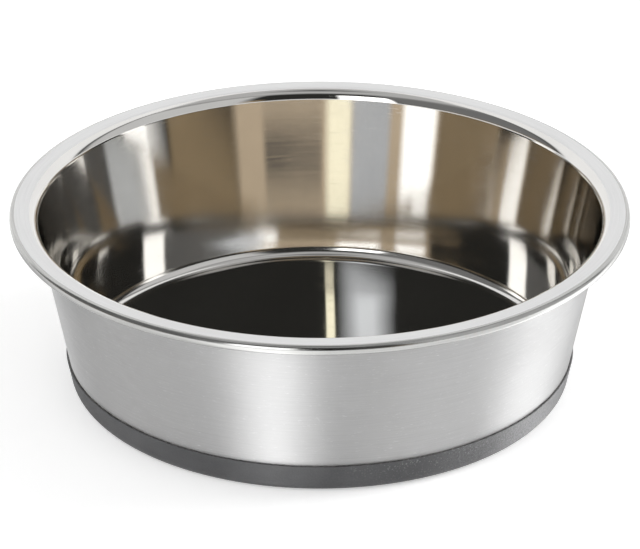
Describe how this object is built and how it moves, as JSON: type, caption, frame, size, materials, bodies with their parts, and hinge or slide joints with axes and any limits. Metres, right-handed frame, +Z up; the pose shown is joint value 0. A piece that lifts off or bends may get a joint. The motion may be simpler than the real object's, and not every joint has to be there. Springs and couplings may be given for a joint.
{
  "type": "dog bowl",
  "caption": "Round stainless dog bowl with a tapered wall, flat flange and curled rim, on a bonded rubber base ring that keeps it from sliding.",
  "frame": {"origin": "centre of the footprint, on the ground plane", "axes": "+Z up along the bowl's axis; the bowl is turned about it, so X and Y are free, and -Y faces the picture's camera"},
  "size_m": [0.254, 0.254, 0.077],
  "materials": {
    "steel": "mirror polished inside, satin on the flange, brushed round the outer wall",
    "adhesive": "cured film, matt",
    "rubber": "matt charcoal, moulded"
  },
  "bodies": {
    "root": {"steel_bowl": "steel", "adhesive_film": "adhesive", "rubber_base": "rubber"}
  },
  "joints": []
}
